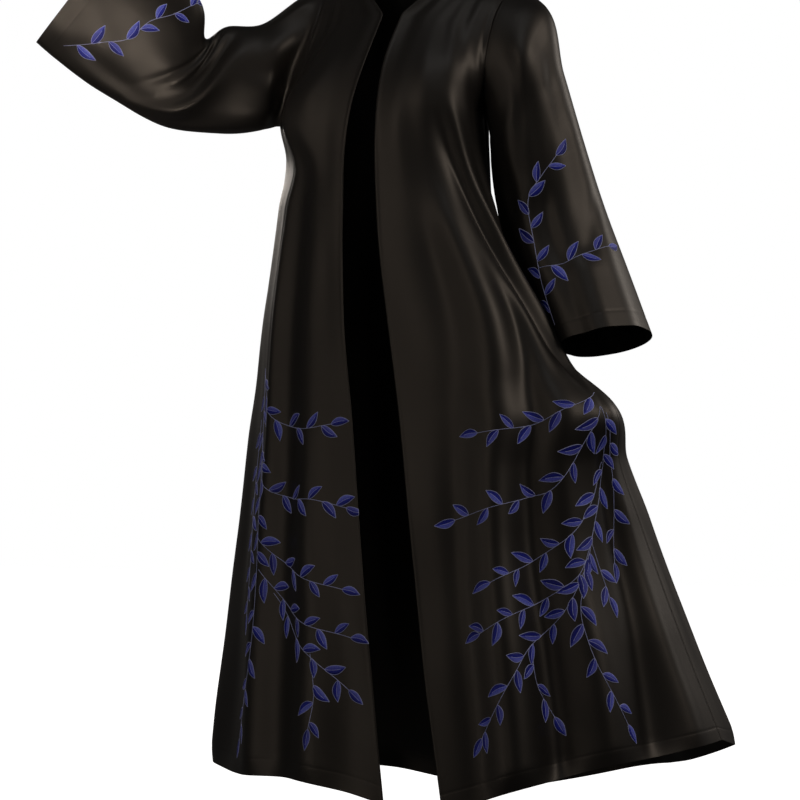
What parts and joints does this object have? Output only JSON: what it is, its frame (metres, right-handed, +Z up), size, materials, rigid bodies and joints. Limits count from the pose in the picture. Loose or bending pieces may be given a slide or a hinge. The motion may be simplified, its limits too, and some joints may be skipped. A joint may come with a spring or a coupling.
{
  "type": "abaya cloak",
  "caption": "Full-length open-front cloak with flared sleeves, in black satin with embroidered leaf sprays, hollow as worn with one arm raised and one side of the skirt lifted.",
  "frame": {"origin": "midway between the two points where the shoulder seams meet the neckline, where the wearer's shoulders hold the cloak", "axes": "+Z up, -Y the way the wearer faces, +X the wearer's left"},
  "size_m": [1.1395, 0.54, 1.5039],
  "materials": {
    "satin": "soft satin weave, near black with a broad warm sheen",
    "leaf_thread": "satin-stitch thread, royal blue",
    "outline_thread": "satin-stitch thread, periwinkle"
  },
  "bodies": {
    "root": {"front_left": "satin", "front_right": "satin", "back": "satin", "sleeve_left": "satin", "sleeve_right": "satin"}
  },
  "joints": []
}
